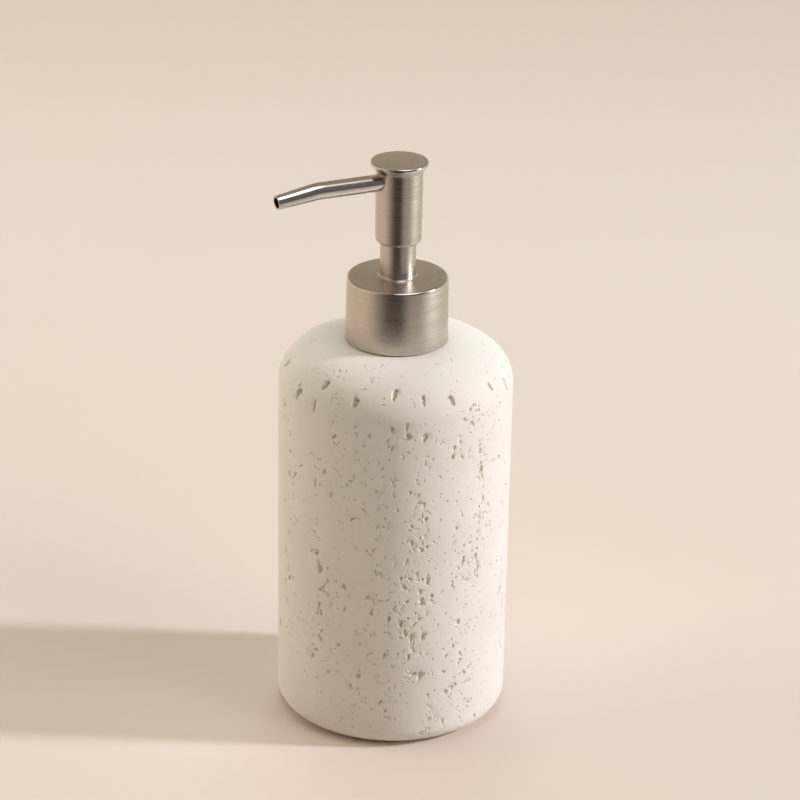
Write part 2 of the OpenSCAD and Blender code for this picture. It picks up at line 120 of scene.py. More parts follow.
# %% Round the corners of an outline
def rounded(corners, steps=6):
    """Points of an outline from corners (radius, height, fillet), with an arc at each fillet."""
    points = []
    for i, (r, z, fillet) in enumerate(corners):
        here = Vector((r, z))
        if not fillet:
            points.append(here)
            continue
        back = (Vector(corners[i - 1][:2]) - here).normalized()
        on = (Vector(corners[(i + 1) % len(corners)][:2]) - here).normalized()
        half = back.angle(on) / 2
        middle = here + (back + on).normalized() * (fillet / math.sin(half))
        start = here + back * (fillet / math.tan(half)) - middle
        turn = start.angle_signed(here + on * (fillet / math.tan(half)) - middle)
        points += [middle + Matrix.Rotation(-turn * k / steps, 2) @ start for k in range(steps + 1)]
    return points


# %% Spin an outline into a closed shell
def in_edit(obj):
    """Selects one object alone and opens it in edit mode."""
    bpy.ops.object.select_all(action="DESELECT")
    obj.select_set(True)
    bpy.context.view_layer.objects.active = obj
    bpy.ops.object.mode_set(mode="EDIT")


def start_line(name, x, y, z):
    """A new mesh object that holds a single selected point, left in edit mode."""
    bpy.ops.object.select_all(action="DESELECT")
    bpy.ops.mesh.primitive_plane_add(size=MM, location=(0, 0, 0))
    obj = bpy.context.object
    obj.name = obj.data.name = name
    bpy.ops.object.mode_set(mode="EDIT")
    bpy.ops.mesh.select_all(action="SELECT")
    bpy.ops.mesh.merge(type="CENTER")
    bpy.ops.transform.translate(value=(x * MM, y * MM, z * MM))
    return obj


def turned(name, outline, steps=128, smooth=30):
    """Spins a list of (radius, height) points round Z into one closed, smooth-shaded piece."""
    obj = start_line(name, outline[0][0], 0, outline[0][1])
    for here, there in zip(outline, outline[1:]):
        move = ((there[0] - here[0]) * MM, 0, (there[1] - here[1]) * MM)
        bpy.ops.mesh.extrude_vertices_move(TRANSFORM_OT_translate={"value": move})
    bpy.ops.mesh.select_all(action="SELECT")
    bpy.ops.mesh.spin(steps=steps, angle=math.tau, center=(0, 0, 0), axis=(0, 0, 1))
    finish_mesh(obj, smooth)
    return obj


def finish_mesh(obj, smooth=30):
    """Merges doubles, turns faces outwards, shades smooth below an angle and leaves edit mode."""
    bpy.ops.mesh.select_all(action="SELECT")
    bpy.ops.mesh.remove_doubles(threshold=0.002 * MM)
    bpy.ops.mesh.normals_make_consistent(inside=False)
    bpy.ops.object.mode_set(mode="OBJECT")
    bpy.ops.object.shade_smooth_by_angle(angle=math.radians(smooth))
    print(f"{obj.name}: {len(obj.data.polygons)} faces")


# %% [markdown]
# ## The cast bottle
#
# The shell is one casting: a flat foot with a recess for the pad, a rounded foot edge, a straight side
# and a shoulder that is a quarter of an ellipse. Its mouth is a plain hole that the neck is glued into.
# The outside is drawn with a point about every millimetre, because pits are pressed into it later and
# need faces of an even size. The inside is never seen close up, so it has far fewer.

# %% Sizes of the shell
side_wall = 5.5
floor_t = 6
crown_t = 9
foot_edge = 5.5  # a cast foot is rounder than the CAD's
shoulder_drop = 14
flat_r = 17.5
mouth_r = 13.5
grain = 1.2  # distance between points of the outside
shell_steps = 196


def even(start, end, step=grain):
    """Points between two points, a step apart, without the last one."""
    start, end = Vector(start), Vector(end)
    count = max(1, round((end - start).length / step))
    return [start.lerp(end, k / count) for k in range(count)]


def quarter(r, z, rx, rz, count):
    """A quarter of an ellipse from its side up to its top, without the last point."""
    angles = [math.pi / 2 * k / count for k in range(count)]
    return [Vector((r + rx * math.cos(a), z + rz * math.sin(a))) for a in angles]


def outside_line():
    """The outside of the shell's section, from the foot up to the edge of the mouth."""
    side_foot = bottle_foot + foot_edge
    side_top = shoulder_z - shoulder_drop
    edge_steps = 9
    foot = [
        Vector((bottle_r - foot_edge + foot_edge * math.sin(a), side_foot - foot_edge * math.cos(a)))
        for a in (math.pi / 2 * k / edge_steps for k in range(edge_steps))
    ]
    side = even((bottle_r, side_foot), (bottle_r, side_top))
    shoulder = quarter(flat_r, side_top, bottle_r - flat_r, shoulder_drop, 28)
    land = even((flat_r, shoulder_z), (mouth_r, shoulder_z))
    return foot + side + shoulder + land


def inside_line():
    """The inside of the shell's section, from the crown's edge down to the middle of the floor."""
    inner_r = bottle_r - side_wall
    inner_floor = bottle_foot + floor_t
    crown = shoulder_z - crown_t
    crown_r = mouth_r + 3
    crown_drop = 10.5
    inner_edge = 6
    dome = quarter(crown_r, crown - crown_drop, inner_r - crown_r, crown_drop, 8)
    corner = [
        Vector((inner_r - inner_edge * (1 - math.cos(a)), inner_floor + inner_edge * (1 - math.sin(a))))
        for a in (math.pi / 2 * k / 4 for k in range(5))
    ]
    return [Vector((crown_r, crown))] + dome[::-1] + corner + [Vector((0, inner_floor))]


pad_clear = 0.2
pad_sink = 1
recess_r = pad_r + pad_clear
recess_z = bottle_foot + pad_sink
recess = [Vector((0, recess_z)), Vector((recess_r, recess_z)), Vector((recess_r, bottle_foot))]
mouth = [Vector((mouth_r, shoulder_z)), Vector((mouth_r, shoulder_z - crown_t))]
bottle = turned("bottle_shell", recess + outside_line() + mouth + inside_line(), shell_steps, smooth=40)

# %% [markdown]
# ## Where the pits are
#
# The casting mix leaves gas holes that gather in upright bands, with a ring of larger, tear-shaped ones
# round the shoulder and a few patches of fine scratches. A place on the outside is given by its angle
# round Z and its distance up the outline, so that pits lie evenly on the side and on the shoulder.
# A texture could paint the pits, but they would stay flat against the light, so they are real hollows.

# %% Find a place on the outside by its angle and its way up the outline
line = outside_line()[1:]
line_r = np.array([p.x for p in line])
line_z = np.array([p.y for p in line])
line_way = np.concatenate([[0], np.cumsum(np.hypot(np.diff(line_r), np.diff(line_z)))])
side_way = float(np.interp(shoulder_z - shoulder_drop, line_z, line_way))
top_way = float(line_way[-1])


def way_at(z):
    """How far up the outline a height is."""
    return float(np.interp(z, line_z, line_way))


def place(angle, way):
    """Point on the outside, with its directions across and along the outline, in millimetres."""
    step = 0.3
    turn = Matrix.Rotation(math.radians(angle), 3, "Z")
    here, above = (
        Vector((np.interp(w, line_way, line_r), 0, np.interp(w, line_way, line_z)))
        for w in (way, way + step)
    )
    return turn @ here, turn @ Vector((0, 1, 0)), turn @ (above - here).normalized()


# %% Describe one hollow
random.seed(7)
hollows = []


def hollow(angle, way, length, width, lean, depth, taper=0.0):
    """Adds a hollow: its size in millimetres, how far its top leans, and how much it narrows below."""
    centre, across, along = place(angle, min(max(way, 0.5), top_way - 1))
    lean = math.radians(lean)
    tilted = math.cos(lean) * along + math.sin(lean) * across
    square = math.cos(lean) * across - math.sin(lean) * along
    hollows.append((centre, square, tilted, width / 2, length / 2, depth, taper))


# %% Large hollows on the shoulder and the side
large = [  # angle, height, length, width, lean
    (186, 117.5, 3.4, 2.0, 12), (201, 122.5, 3.2, 2.2, 14), (199, 116, 3.2, 1.1, -4),
    (221, 120, 3.6, 2.4, 10), (241, 123, 3.8, 2.0, 14), (256, 121.5, 3.2, 1.7, 4),
    (271, 120.5, 3.6, 2.0, -12), (298, 120.5, 3.0, 1.4, -8), (312, 118, 3.0, 1.6, 10),
    (331, 121, 3.4, 1.9, 16), (352, 119, 3.1, 2.1, -10), (14, 121.5, 3.6, 1.8, 8),
    (37, 119.5, 3.0, 1.5, -14), (62, 122, 3.5, 2.1, 12), (88, 120, 3.3, 1.6, -6),
    (112, 121, 3.0, 2.0, 10), (139, 118.5, 3.6, 1.9, 14), (161, 121, 3.1, 1.5, -9),
    (256, 110, 2.8, 1.6, 14), (247, 114, 2.6, 1.2, 6), (270.5, 102, 1.7, 1.4, 8),
    (240, 113, 2.0, 1.5, 20), (211, 108, 2.2, 1.2, 40), (200, 90, 2.6, 0.9, 6),
    (256, 26, 3.0, 1.8, 22), (259, 60.5, 1.7, 1.5, 0), (261, 54.5, 1.5, 1.2, 10),
    (240, 47, 2.2, 1.6, 15), (246, 45, 1.9, 1.5, -10), (251, 40, 2.3, 1.3, 5),
    (257, 40, 2.2, 1.7, 18), (250, 33, 2.0, 1.2, 8), (238, 34, 2.2, 1.5, 10),
    (236, 16.5, 2.0, 1.0, 25), (221, 81, 1.7, 1.0, 60), (220, 94, 1.4, 1.1, -10),
    (288, 60, 2.6, 1.0, 10), (278, 64.5, 3.2, 0.9, 14), (203, 61, 3.6, 1.1, -4),
    (203, 47, 3.4, 1.0, 12), (270, 18.5, 1.8, 1.4, 0), (350, 90, 2.4, 1.4, 12),
    (20, 60, 2.8, 1.6, 18), (75, 98, 2.2, 1.5, -8), (96, 44, 2.8, 1.7, 15),
    (128, 80, 2.5, 1.3, 10), (165, 30, 2.7, 1.6, 20), (150, 104, 2.3, 1.5, 8),
]
for angle, height, length, width, lean in large:
    hollow(angle, way_at(height), 1.15 * length, 0.8 * width, lean, 0.42 * width + 0.15, taper=0.4)

# %% [markdown]
# Each upright band is a random walk: it starts at an angle, climbs with small sideways steps, and drops
# hollows of mixed sizes as it goes, now and then two or three together. Bands differ in how thick and
# how full they are. A few hollows stand alone between the bands.

# %% Upright bands of small hollows
bands = [  # angle, foot height, top height, sideways spread, hollows for each millimetre
    (203, 28, 78, 1.4, 0.9), (199, 60, 100, 1.6, 0.35), (211, 86, 116, 2.0, 0.35), (214, 14, 60, 3.0, 0.35),
    (226, 84, 112, 1.8, 0.5), (228, 10, 60, 2.4, 0.8), (236, 62, 88, 1.6, 1.1), (240, 88, 112, 2.2, 0.9),
    (241, 6, 52, 2.2, 0.9), (250, 24, 92, 2.2, 1.15), (245, 40, 76, 2.4, 0.8), (257, 34, 84, 2.0, 0.7),
    (258, 84, 104, 2.4, 0.5), (263, 8, 34, 3.0, 0.7), (270, 50, 112, 2.6, 0.45), (278, 8, 72, 2.0, 0.8),
    (277, 100, 118, 2.0, 0.7), (287, 56, 118, 1.2, 1.2), (285, 6, 44, 2.4, 0.7), (298, 20, 96, 3.0, 0.35),
]
back_bands = 14
for k in range(back_bands):
    foot = random.uniform(6, 60)
    angle = 308 + 234 * (k + random.uniform(0.1, 0.9)) / back_bands
    top = random.uniform(foot + 25, 118)
    spread = random.uniform(1.3, 2.8)
    bands.append((angle, foot, top, spread, random.uniform(0.4, 0.9)))


def small_hollow(angle, way):
    """One hollow of a band: mostly small and upright, sometimes a bigger one."""
    length = min(2.2, random.lognormvariate(-0.26, 0.42))
    width = max(0.42, length * random.uniform(0.38, 0.75))
    hollow(angle, way, length, width, random.gauss(12, 26), 0.16 + 0.4 * width, random.uniform(0, 0.35))


thinned = 0.95
for angle, foot, top, spread, full in bands:
    foot_way, band_way = way_at(foot), way_at(top)
    for _ in range(int((band_way - foot_way) * full * thinned)):
        way = random.uniform(foot_way, band_way)
        wander = 1.5 * math.sin(way / 9 + angle)
        aside = math.degrees((wander + random.gauss(0, spread)) / bottle_r)
        small_hollow(angle + aside, way)
        if random.random() < 0.2:
            small_hollow(angle + aside + random.uniform(-1.2, 1.2), way + random.uniform(-1, 1))
for _ in range(320):
    small_hollow(random.uniform(0, 360), random.uniform(1, side_way + 14))

# %% Patches of fine scratches
patches = [(204, 126), (227, 126), (211, 119.5), (231, 128), (260, 5), (276, 114)]  # angle, height
patches += [(239, 96), (284, 13), (30, 125)]
patches += [(random.uniform(300, 540), random.uniform(6, 124)) for _ in range(10)]
for angle, height in patches:
    way = way_at(height)
    for _ in range(5):
        aside = math.degrees(random.gauss(0, 1.2) / bottle_r)
        up = way + random.gauss(0, 1.0)
        length = random.uniform(0.8, 1.5)
        hollow(angle + aside, up, length, 0.42, random.gauss(30, 25), 0.3)
print(f"{len(hollows)} hollows")

# %% [markdown]
# ## Pressing the pits in
#
# The faces near a hollow are subdivided first, so that the rest of the shell stays light. Then every
# point gets a weight from the hollows over it, and a Displace modifier pushes the points in by it.
# The rim of each hollow is warped with noise, and its wall is steep, as a burst bubble's is.


# %% Select and split the faces round the hollows
def local(centre, square, tilted, taper, half_l, point):
    """A point's distances across and along a hollow."""
    off = point - centre
    v = off.dot(tilted)
    return off.dot(square) / (1 + taper * v / half_l), v


def tree_of(points):
    """A search tree of points in millimetres."""
    tree = kdtree.KDTree(len(points))
    for i, point in enumerate(points):
        tree.insert(point, i)
    tree.balance()
    return tree


mesh = bottle.data
centres = tree_of([p.center / MM for p in mesh.polygons])
near = set()
margin = 0.4
for centre, square, tilted, half_w, half_l, depth, taper in hollows:
    for point, i, _ in centres.find_range(centre, half_l + margin + 0.2):
        u, v = local(centre, square, tilted, 0, half_l, point)
        if (u / (half_w + margin)) ** 2 + (v / (half_l + margin)) ** 2 < 1:
            near.add(i)
in_edit(bottle)
bpy.ops.mesh.select_all(action="DESELECT")
bpy.ops.mesh.select_mode(type="FACE")
bpy.ops.object.mode_set(mode="OBJECT")
for i in near:
    mesh.polygons[i].select = True
bpy.ops.object.mode_set(mode="EDIT")
bpy.ops.mesh.subdivide(number_cuts=4)
bpy.ops.mesh.select_mode(type="VERT")
bpy.ops.object.mode_set(mode="OBJECT")
print(f"{len(near)} faces split, {len(mesh.vertices)} points")

# %% Weigh the points and push them in
deepest = max(h[5] for h in hollows)
points = [v.co / MM for v in mesh.vertices]
skin = tree_of(points)
push = np.zeros(len(points))
inside = np.zeros(len(points))
for k, (centre, square, tilted, half_w, half_l, depth, taper) in enumerate(hollows):
    for point, i, _ in skin.find_range(centre, 1.35 * half_l + 0.2):
        u, v = local(centre, square, tilted, taper, half_l, point)
        ragged = noise.noise(point * 1.3 + Vector((k, 0, 0)))
        frayed = 0.4 if half_w > 0.5 else 0.6
        near_rim = math.hypot(u / half_w, v / half_l) * (1 + frayed * ragged)
        wall = min(1, max(0, (1.12 - near_rim) / 0.42))
        inside[i] = max(inside[i], wall)
        overhang = 1 + 0.3 * max(-1, min(1, v / half_l))
        push[i] = max(push[i], depth * wall * overhang * (0.9 + 0.35 * noise.noise(point * 2.3)))
group = bottle.vertex_groups.new(name="pits")
for i in np.flatnonzero(push):
    group.add([int(i)], float(push[i] / deepest), "REPLACE")
mesh.attributes.new("pit", "FLOAT", "POINT").data.foreach_set("value", inside)
press = bottle.modifiers.new("press", "DISPLACE")
press.vertex_group = "pits"
press.mid_level = 0
press.strength = -deepest * MM
bpy.ops.object.modifier_apply(modifier="press")
bpy.ops.object.shade_smooth_by_angle(angle=math.radians(32))
triangles = sum(len(p.vertices) - 2 for p in mesh.polygons)
print(f"{int((inside > 0.5).sum())} points lie in hollows, {triangles} triangles in all")
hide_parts("bottle_body")
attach(bottle, "bottle")

# %% [markdown]
# ## The metal shells
#
# The collar, the sleeve, the barrel and the button are thin metal pressings. Each is spun from its
# section as well. The bands that were polished, such as the collar's bevel, get a material of their
# own later, so the faces between two radii or heights can be picked out.

# %% Spin the collar with its polished bevel
collar_rise = 21.2  # the collar's flat top above the shoulder
collar_flare = 0.3
collar_edge = 0.25
collar_top = shoulder_z + collar_rise
collar_top_r = collar_r - collar_flare
sleeve_r = 5.7
lip = lip_top - collar_top
bevel = 0.8  # a little wider than the CAD's
turned_steps = 192


def arc(r, z, radius, start, end, steps):
    """Points of an arc round (r, z) between two angles in degrees."""
    angles = [math.radians(start + (end - start) * k / steps) for k in range(steps + 1)]
    return [Vector((r + radius * math.cos(a), z + radius * math.sin(a))) for a in angles]


collar_line = [Vector((cap_r, collar_foot + 0.15)), Vector((cap_r + 0.15, collar_foot))]
collar_line += arc(collar_r - collar_edge, collar_foot + collar_edge, collar_edge, -90, 0, 4)
collar_line += arc(collar_top_r - bevel, collar_top - bevel, bevel, 0, 90, 10)
collar_line += arc(sleeve_r + lip, collar_top + lip, lip, -90, -175, 10)
collar_line += [Vector((sleeve_r, lip_top)), Vector((sleeve_r, collar_under)), Vector((cap_r, collar_under))]
collar = turned("collar", collar_line + collar_line[:1], turned_steps)

# %% Spin the sleeve that the head slides over
sleeve_wall = 0.5
sleeve_line = rounded([
    (sleeve_r - sleeve_wall, sleeve_foot, 0), (sleeve_foot_r, sleeve_foot, 0.1),
    (sleeve_foot_r, collar_under, 0.1), (sleeve_r, collar_under, 0),
    (sleeve_r, sleeve_top, 0.2), (sleeve_r - sleeve_wall, sleeve_top, 0.15),
])
sleeve = turned("sleeve", sleeve_line + sleeve_line[:1], turned_steps)

# %% Spin the barrel, with its foot rolled inwards
roll = 1.2
roll_t = 0.5
slide_clear = 0.25
barrel_flare = 0.17
core_bore_r = sleeve_r + slide_clear
barrel_foot_r = barrel_top_r - barrel_flare
barrel_line = [Vector((core_bore_r, barrel_foot + 0.15)), Vector((core_bore_r + 0.15, barrel_foot))]
barrel_line += arc(barrel_foot_r - roll, barrel_foot + roll, roll, -90, 0, 10)
barrel_line += [Vector((barrel_top_r, barrel_top)), Vector((core_r, barrel_top))]
barrel_line += [Vector((core_r, barrel_foot + roll_t)), Vector((core_bore_r, barrel_foot + roll_t))]
barrel = turned("barrel", barrel_line + barrel_line[:1], turned_steps)

# %% Spin the button, whose rim is rounded over and hollow below
rim_edge = 0.6
cone_h = 1.7
rim_foot = barrel_top + cone_h
button_line = [Vector((core_r, core_top)), Vector((core_r, barrel_top)), Vector((barrel_top_r, barrel_top))]
button_line += arc(button_r - rim_edge, rim_foot + rim_edge, rim_edge, -50, 0, 8)
button_line += arc(button_r - rim_edge, button_top - rim_edge, rim_edge, 8, 90, 10)
button_line += [Vector((0, button_top))]
button = turned("button", [Vector((0, core_top))] + button_line, turned_steps)

# %% [markdown]
# ## The spout
#
# The real spout is a drawn tube, bent once and swaged down towards its tip. A circle is stood at the
# root and extruded along the same path: straight and slightly rising, round a gentle bend, and down to
# the tip while it is scaled. Solidify gives the tube its wall, and a small bevel rounds the cut end.

# %% Extrude a circle along the spout's path
spout_r = 2.75
spout_tip_r = 2.25
spout_wall = 0.55
rise, fall = math.radians(1.5), math.radians(6.5)
root_in = 3.4  # the spout starts this far out from the head's axis
bend_at = 28.5
nose = 14.2
bend_r = 26
bend_len = bend_r * math.tan((rise + fall) / 2)
spout_root = Vector((-root_in, 0, barrel_top - spout_r - 0.5))
first_len = (bend_at + spout_root.x) / math.cos(rise) - bend_len
nose_len = nose - bend_len
bend_steps = 10

bpy.ops.object.select_all(action="DESELECT")
bpy.ops.mesh.primitive_circle_add(vertices=64, radius=spout_r * MM, rotation=(0, -math.pi / 2 + rise, 0))
bpy.ops.transform.translate(value=spout_root * MM)
bpy.ops.object.transform_apply(location=True, rotation=True, scale=True)
spout = bpy.context.object
spout.name = spout.data.name = "spout"
in_edit(spout)
bpy.ops.mesh.select_all(action="SELECT")
head = spout_root.copy()


def go_on(length, slope, scale=1.0, turn=0.0):
    """Extrudes the open end of the tube along a slope, then turns and scales the new ring."""
    step = Vector((-math.cos(slope), 0, math.sin(slope))) * length
    head.xyz = head + step
    bpy.ops.mesh.extrude_region_move(TRANSFORM_OT_translate={"value": step * MM})
    if turn:
        bpy.ops.transform.rotate(value=turn, orient_axis="Y", center_override=head * MM)
    if scale != 1.0:
        bpy.ops.transform.resize(value=(scale,) * 3, center_override=head * MM)


for _ in range(4):
    go_on(first_len / 4, rise)
bend = (rise + fall) / bend_steps
chord = 2 * bend_r * math.sin(bend / 2)
for k in range(bend_steps):
    go_on(chord, rise - (k + 0.5) * bend, turn=bend)
nose_steps = 4
for k in range(nose_steps):
    was = spout_r + (spout_tip_r - spout_r) * k / nose_steps
    now = spout_r + (spout_tip_r - spout_r) * (k + 1) / nose_steps
    go_on(nose_len / nose_steps, -fall, scale=now / was)
finish_mesh(spout)
print("tip at", [round(c, 2) for c in head])

# %% Give the tube its wall and round the cut end
bpy.ops.object.select_all(action="DESELECT")
spout.select_set(True)
bpy.context.view_layer.objects.active = spout
wall = spout.modifiers.new("wall", "SOLIDIFY")
wall.thickness = spout_wall * MM
wall.offset = -1
wall.use_rim = True
bpy.ops.object.modifier_apply(modifier="wall")
edge = spout.modifiers.new("edge", "BEVEL")
edge.width = 0.12 * MM
edge.segments = 3
edge.angle_limit = math.radians(60)
bpy.ops.object.modifier_apply(modifier="edge")
bpy.ops.object.shade_smooth_by_angle(angle=math.radians(30))
print(f"spout: {len(spout.data.polygons)} faces with its wall")

# %% Cut the barrel's hole for the spout
bpy.ops.object.select_all(action="DESELECT")
hole_len = 12
bpy.ops.mesh.primitive_cylinder_add(
    vertices=96, radius=(spout_r + 0.02) * MM, depth=hole_len * MM, rotation=(0, -math.pi / 2 + rise, 0)
)
cutter = bpy.context.object
cutter.location = (spout_root + Vector((-math.cos(rise), 0, math.sin(rise))) * hole_len / 2) * MM
bpy.ops.object.select_all(action="DESELECT")
bpy.context.view_layer.objects.active = barrel
hole = barrel.modifiers.new("hole", "BOOLEAN")
hole.object = cutter
hole.operation = "DIFFERENCE"
bpy.ops.object.modifier_apply(modifier="hole")
bpy.data.objects.remove(cutter)
barrel.select_set(True)
bpy.ops.object.shade_smooth_by_angle(angle=math.radians(30))
print(f"barrel: {len(barrel.data.polygons)} faces with its hole")

# %% [markdown]
# ## The return spring
#
# The spring is never seen from outside, but it has to shorten when the head is pressed, which a rigid
# part can't. A small ring is carried up a helix by extruding, turning and lifting it, with closed turns
# at both ends.

# %% Wind the spring
spring_foot, spring_top, spring_outer_r = span("return_spring")
wire = 1.1
closed = 1.1
working = 5
turn_steps = 24
spring_len = spring_top - spring_foot
working_rise = (spring_len - wire * (1 + 2 * closed)) / working
bpy.ops.object.select_all(action="DESELECT")
bpy.ops.mesh.primitive_circle_add(vertices=10, radius=0.98 * wire / 2 * MM, rotation=(math.pi / 2, 0, 0))
bpy.ops.transform.translate(value=((spring_outer_r - wire / 2) * MM, 0, (spring_foot + wire / 2) * MM))
bpy.ops.object.transform_apply(location=True, rotation=True, scale=True)
spring = bpy.context.object
spring.name = spring.data.name = "spring"
in_edit(spring)
bpy.ops.mesh.select_all(action="SELECT")
bpy.ops.mesh.edge_face_add()
steps = round((working + 2 * closed) * turn_steps)
for k in range(steps):
    turns = (k + 0.5) * (working + 2 * closed) / steps
    climb = working_rise if closed < turns < closed + working else wire
    lift = climb * (working + 2 * closed) / steps
    bpy.ops.mesh.extrude_region_move(TRANSFORM_OT_translate={"value": (0, 0, lift * MM)})
    bpy.ops.transform.rotate(value=-math.tau / turn_steps, orient_axis="Z", center_override=(0, 0, 0))
finish_mesh(spring, smooth=50)
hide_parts("return_spring")
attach(spring, "pump")
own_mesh(spring)

# %% [markdown]
# ## What each piece rides on
#
# The collar and sleeve turn with the closure. The barrel, button and spout move with the head. Each of
# them stands in for one CAD part, which is hidden.

# %% Ride and replace
for piece, node, body, finish in (
    (collar, "closure_shell", "closure", "satin_steel"),
    (sleeve, "neck_sleeve", "closure", "satin_steel"),
    (barrel, "head_barrel", "head", "satin_steel"),
    (button, "head_button", "head", "satin_steel"),
    (spout, "spout_tube", "head", "bright_steel"),
):
    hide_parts(node)
    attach(piece, body)
    print(f"{piece.name} rides on {body}")

# %% [markdown]
# ## Writing materials as sums
#
# A material is a small graph of nodes. Wiring Math nodes by hand hides the sum that they stand for, so
# one class wraps an output and lets it be added, subtracted and multiplied like a number. Every other
# node comes from one method that takes its type, its settings and its inputs.


# %% A wire that can be used in sums
class Wire:
    """One output of a node. Sums and products of wires add Math nodes."""

    def __init__(self, nodes, socket):
        self.nodes = nodes
        self.socket = socket

    def math(self, operation, *others):
        inputs = {i: value for i, value in enumerate((self, *others))}
        return self.nodes.add("ShaderNodeMath", {"operation": operation}, inputs)

    def __add__(self, other):
        return self.math("ADD", other)

    __radd__ = __add__

    def __sub__(self, other):
        return self.math("SUBTRACT", other)

    def __rsub__(self, other):
        return (self * -1) + other

    def __mul__(self, other):
        return self.math("MULTIPLY", other)

    __rmul__ = __mul__

    def ramp(self, start, end):
        """0 below start, 1 above end, smooth between them."""
        inputs = {"Value": self, "From Min": start, "From Max": end}
        return self.nodes.add("ShaderNodeMapRange", {"interpolation_type": "SMOOTHSTEP"}, inputs)


class Nodes:
    """The nodes of one material or of the world."""

    def __init__(self, owner):
        owner.use_nodes = True
        self.owner = owner
        self.tree = owner.node_tree
        self.tree.nodes.clear()

    def add(self, kind, settings=None, inputs=None, output=0):
        """Adds a node, sets it up, links or fills its inputs, and returns one of its outputs."""
        node = self.tree.nodes.new(kind)
        for name, value in (settings or {}).items():
            setattr(node, name, value)
        for name, value in (inputs or {}).items():
            if isinstance(value, Wire):
                self.tree.links.new(value.socket, node.inputs[name])
            else:
                node.inputs[name].default_value = value
        return Wire(self, node.outputs[output]) if node.outputs else None

    def mix(self, factor, first, second):
        """A colour between two colours."""
        first, second = (c if isinstance(c, Wire) else (*c, 1) for c in (first, second))
        return self.add("ShaderNodeMix", {"data_type": "RGBA"}, {0: factor, 6: first, 7: second}, output=2)

    def noise(self, place, scale, detail=2.0, rough=0.5):
        """Soft noise from 0 to 1. The scale is in lumps for each metre."""
        inputs = {"Vector": place, "Scale": scale, "Detail": detail, "Roughness": rough}
        return self.add("ShaderNodeTexNoise", {}, inputs)

    def stretched(self, place, across, along):
        """A place with its sizes across and along Z scaled apart."""
        return self.add(
            "ShaderNodeVectorMath", {"operation": "MULTIPLY"}, {0: place, 1: (across, across, along)}
        )

    def bump(self, height, distance):
        """A bumped normal. The distance is in millimetres."""
        inputs = {"Height": height, "Distance": distance * MM, "Strength": 1.0}
        return self.add("ShaderNodeBump", {}, inputs)

    def shader(self, **inputs):
        """A Principled surface, linked to the material's output."""
        named = {name.replace("_", " "): value for name, value in inputs.items()}
        surface = self.add("ShaderNodeBsdfPrincipled", {}, named)
        self.add("ShaderNodeOutputMaterial", {}, {"Surface": surface})
        return self.owner


def new_finish(name):
    """An empty material's nodes, with the place on the piece in metres."""
    nodes = Nodes(bpy.data.materials.new(name))
    return nodes, nodes.add("ShaderNodeTexCoord", output=3)


# %% [markdown]
# ## Cast stone
#
# The casting is matte and warm white, with slow clouds of cream and grey, a sandy grain and pinholes
# too small to model. The open hollows show the darker mix inside. The pit attribute that the shell
# carries says where those are.

# %% Make the stone
def cast_stone():
    nodes, spot = new_finish("cast_stone")
    pit = nodes.add("ShaderNodeAttribute", {"attribute_name": "pit"}, output=2)
    clouds = nodes.noise(spot, 38, 3)
    mottle = nodes.noise(spot, 420, 3, 0.6)
    grain_noise = nodes.noise(spot, 2600, 2, 0.7)
    upright = nodes.noise(nodes.stretched(spot, 110, 14), 1.0, 2)
    reach = nodes.add("ShaderNodeTexVoronoi", {}, {"Vector": spot, "Scale": 620.0})
    chance = nodes.noise(spot, 300, 1)
    pinhole = (1 - reach.ramp(0.12, 0.3)) * chance.ramp(0.48, 0.6) * upright.ramp(0.36, 0.56)
    light = nodes.mix(clouds.ramp(0.35, 0.65), (0.81, 0.763, 0.728), (0.84, 0.797, 0.765))
    body = nodes.mix(mottle.ramp(0.3, 0.75) * 0.2, light, (0.775, 0.717, 0.655))
    holed = nodes.mix(pinhole * 0.5, body, (0.62, 0.56, 0.44))
    colour = nodes.mix(pit.ramp(0.4, 1.0) * 0.8, holed, (0.70, 0.645, 0.49))
    height = grain_noise * 0.35 + mottle * 0.8 - pinhole * 3.0
    return nodes.shader(
        Base_Color=colour, Roughness=0.82 + mottle * 0.12, Specular_IOR_Level=0.35,
        Normal=nodes.bump(height, 0.07),
    )


stone = cast_stone()

# %% [markdown]
# ## Brushed and polished metal
#
# The shells were brushed on a lathe, so the lines run round the axis, and the light streaks up and down
# across them. That streak is the shader's anisotropy, which is a fixed number. The lines themselves are
# noise that is long round the axis and fine along it, read from the radius and the height. The flat tops
# were faced, not brushed lengthwise, so they get a satin of their own without the stretched highlight.


# %% Make the brushed and polished metals
def lathe_lines(nodes, spot, fine):
    """Noise in lines round Z: fine across radius and height, and long round the axis."""
    flat = nodes.add("ShaderNodeVectorMath", {"operation": "MULTIPLY"}, {0: spot, 1: (1, 1, 0)})
    radius = nodes.add("ShaderNodeVectorMath", {"operation": "LENGTH"}, {0: flat}, output=1)
    height = nodes.add("ShaderNodeSeparateXYZ", {}, {0: spot}, output=2)
    slow = nodes.stretched(spot, 60, 0)
    rings = nodes.add("ShaderNodeCombineXYZ", {}, {0: radius * fine, 1: 0.0, 2: height * fine})
    where = nodes.add("ShaderNodeVectorMath", {"operation": "ADD"}, {0: rings, 1: slow})
    return nodes.add("ShaderNodeTexNoise", {}, {"Vector": where, "Scale": 1.0, "Detail": 3.0})


